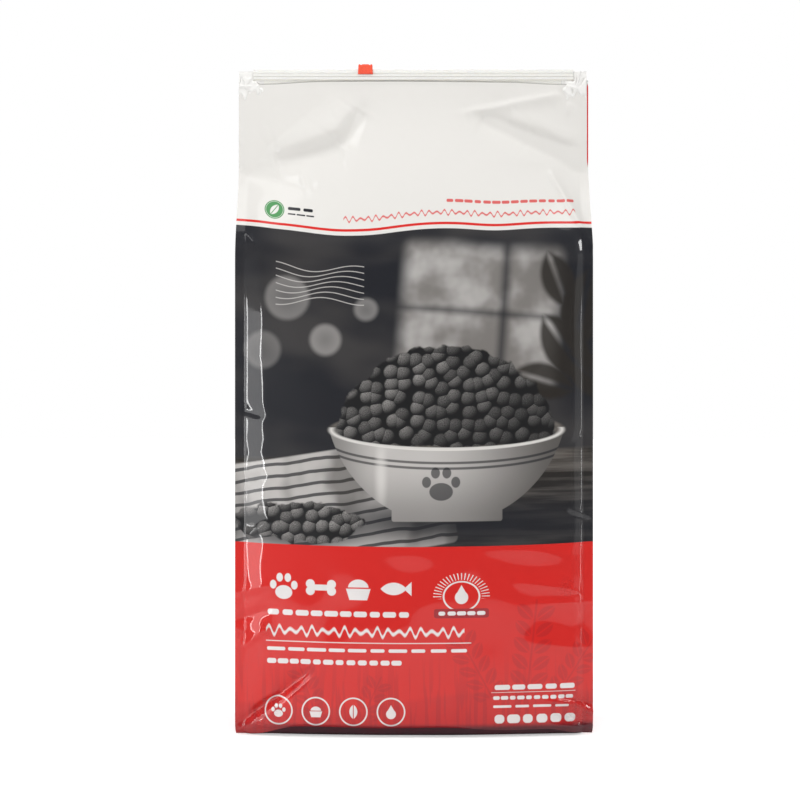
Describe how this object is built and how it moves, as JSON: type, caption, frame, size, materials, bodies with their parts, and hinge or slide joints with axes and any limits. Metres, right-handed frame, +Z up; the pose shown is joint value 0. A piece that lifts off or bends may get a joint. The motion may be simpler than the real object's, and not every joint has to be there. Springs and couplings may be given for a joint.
{
  "type": "pet food bag",
  "caption": "Filled flat-bottom pouch of printed film for dry pet food, with welded corner fins, folded side gussets and a slider zip along its closed top.",
  "frame": {"origin": "under the middle of the bag, on the surface that it stands on", "axes": "+Z up towards the zip, the printed front panel faces -Y, and the zip runs along X"},
  "size_m": [0.374, 0.152, 0.7053],
  "materials": {
    "printed_film": "glossy laminated film, printed white, charcoal and red",
    "zip_natural": "satin extruded polyethylene in its natural colour",
    "slider_red": "moulded red plastic with a light gloss"
  },
  "bodies": {
    "pouch": {"bag": "printed_film", "zip_front_profile": "zip_natural", "zip_back_profile": "zip_natural"},
    "slider": {"slider": "slider_red"}
  },
  "joints": [
    {"name": "slider_travel", "type": "slide", "parent": "pouch", "child": "slider", "axis": [1, 0, 0], "range_m": [-0.1112, 0.2142]}
  ]
}
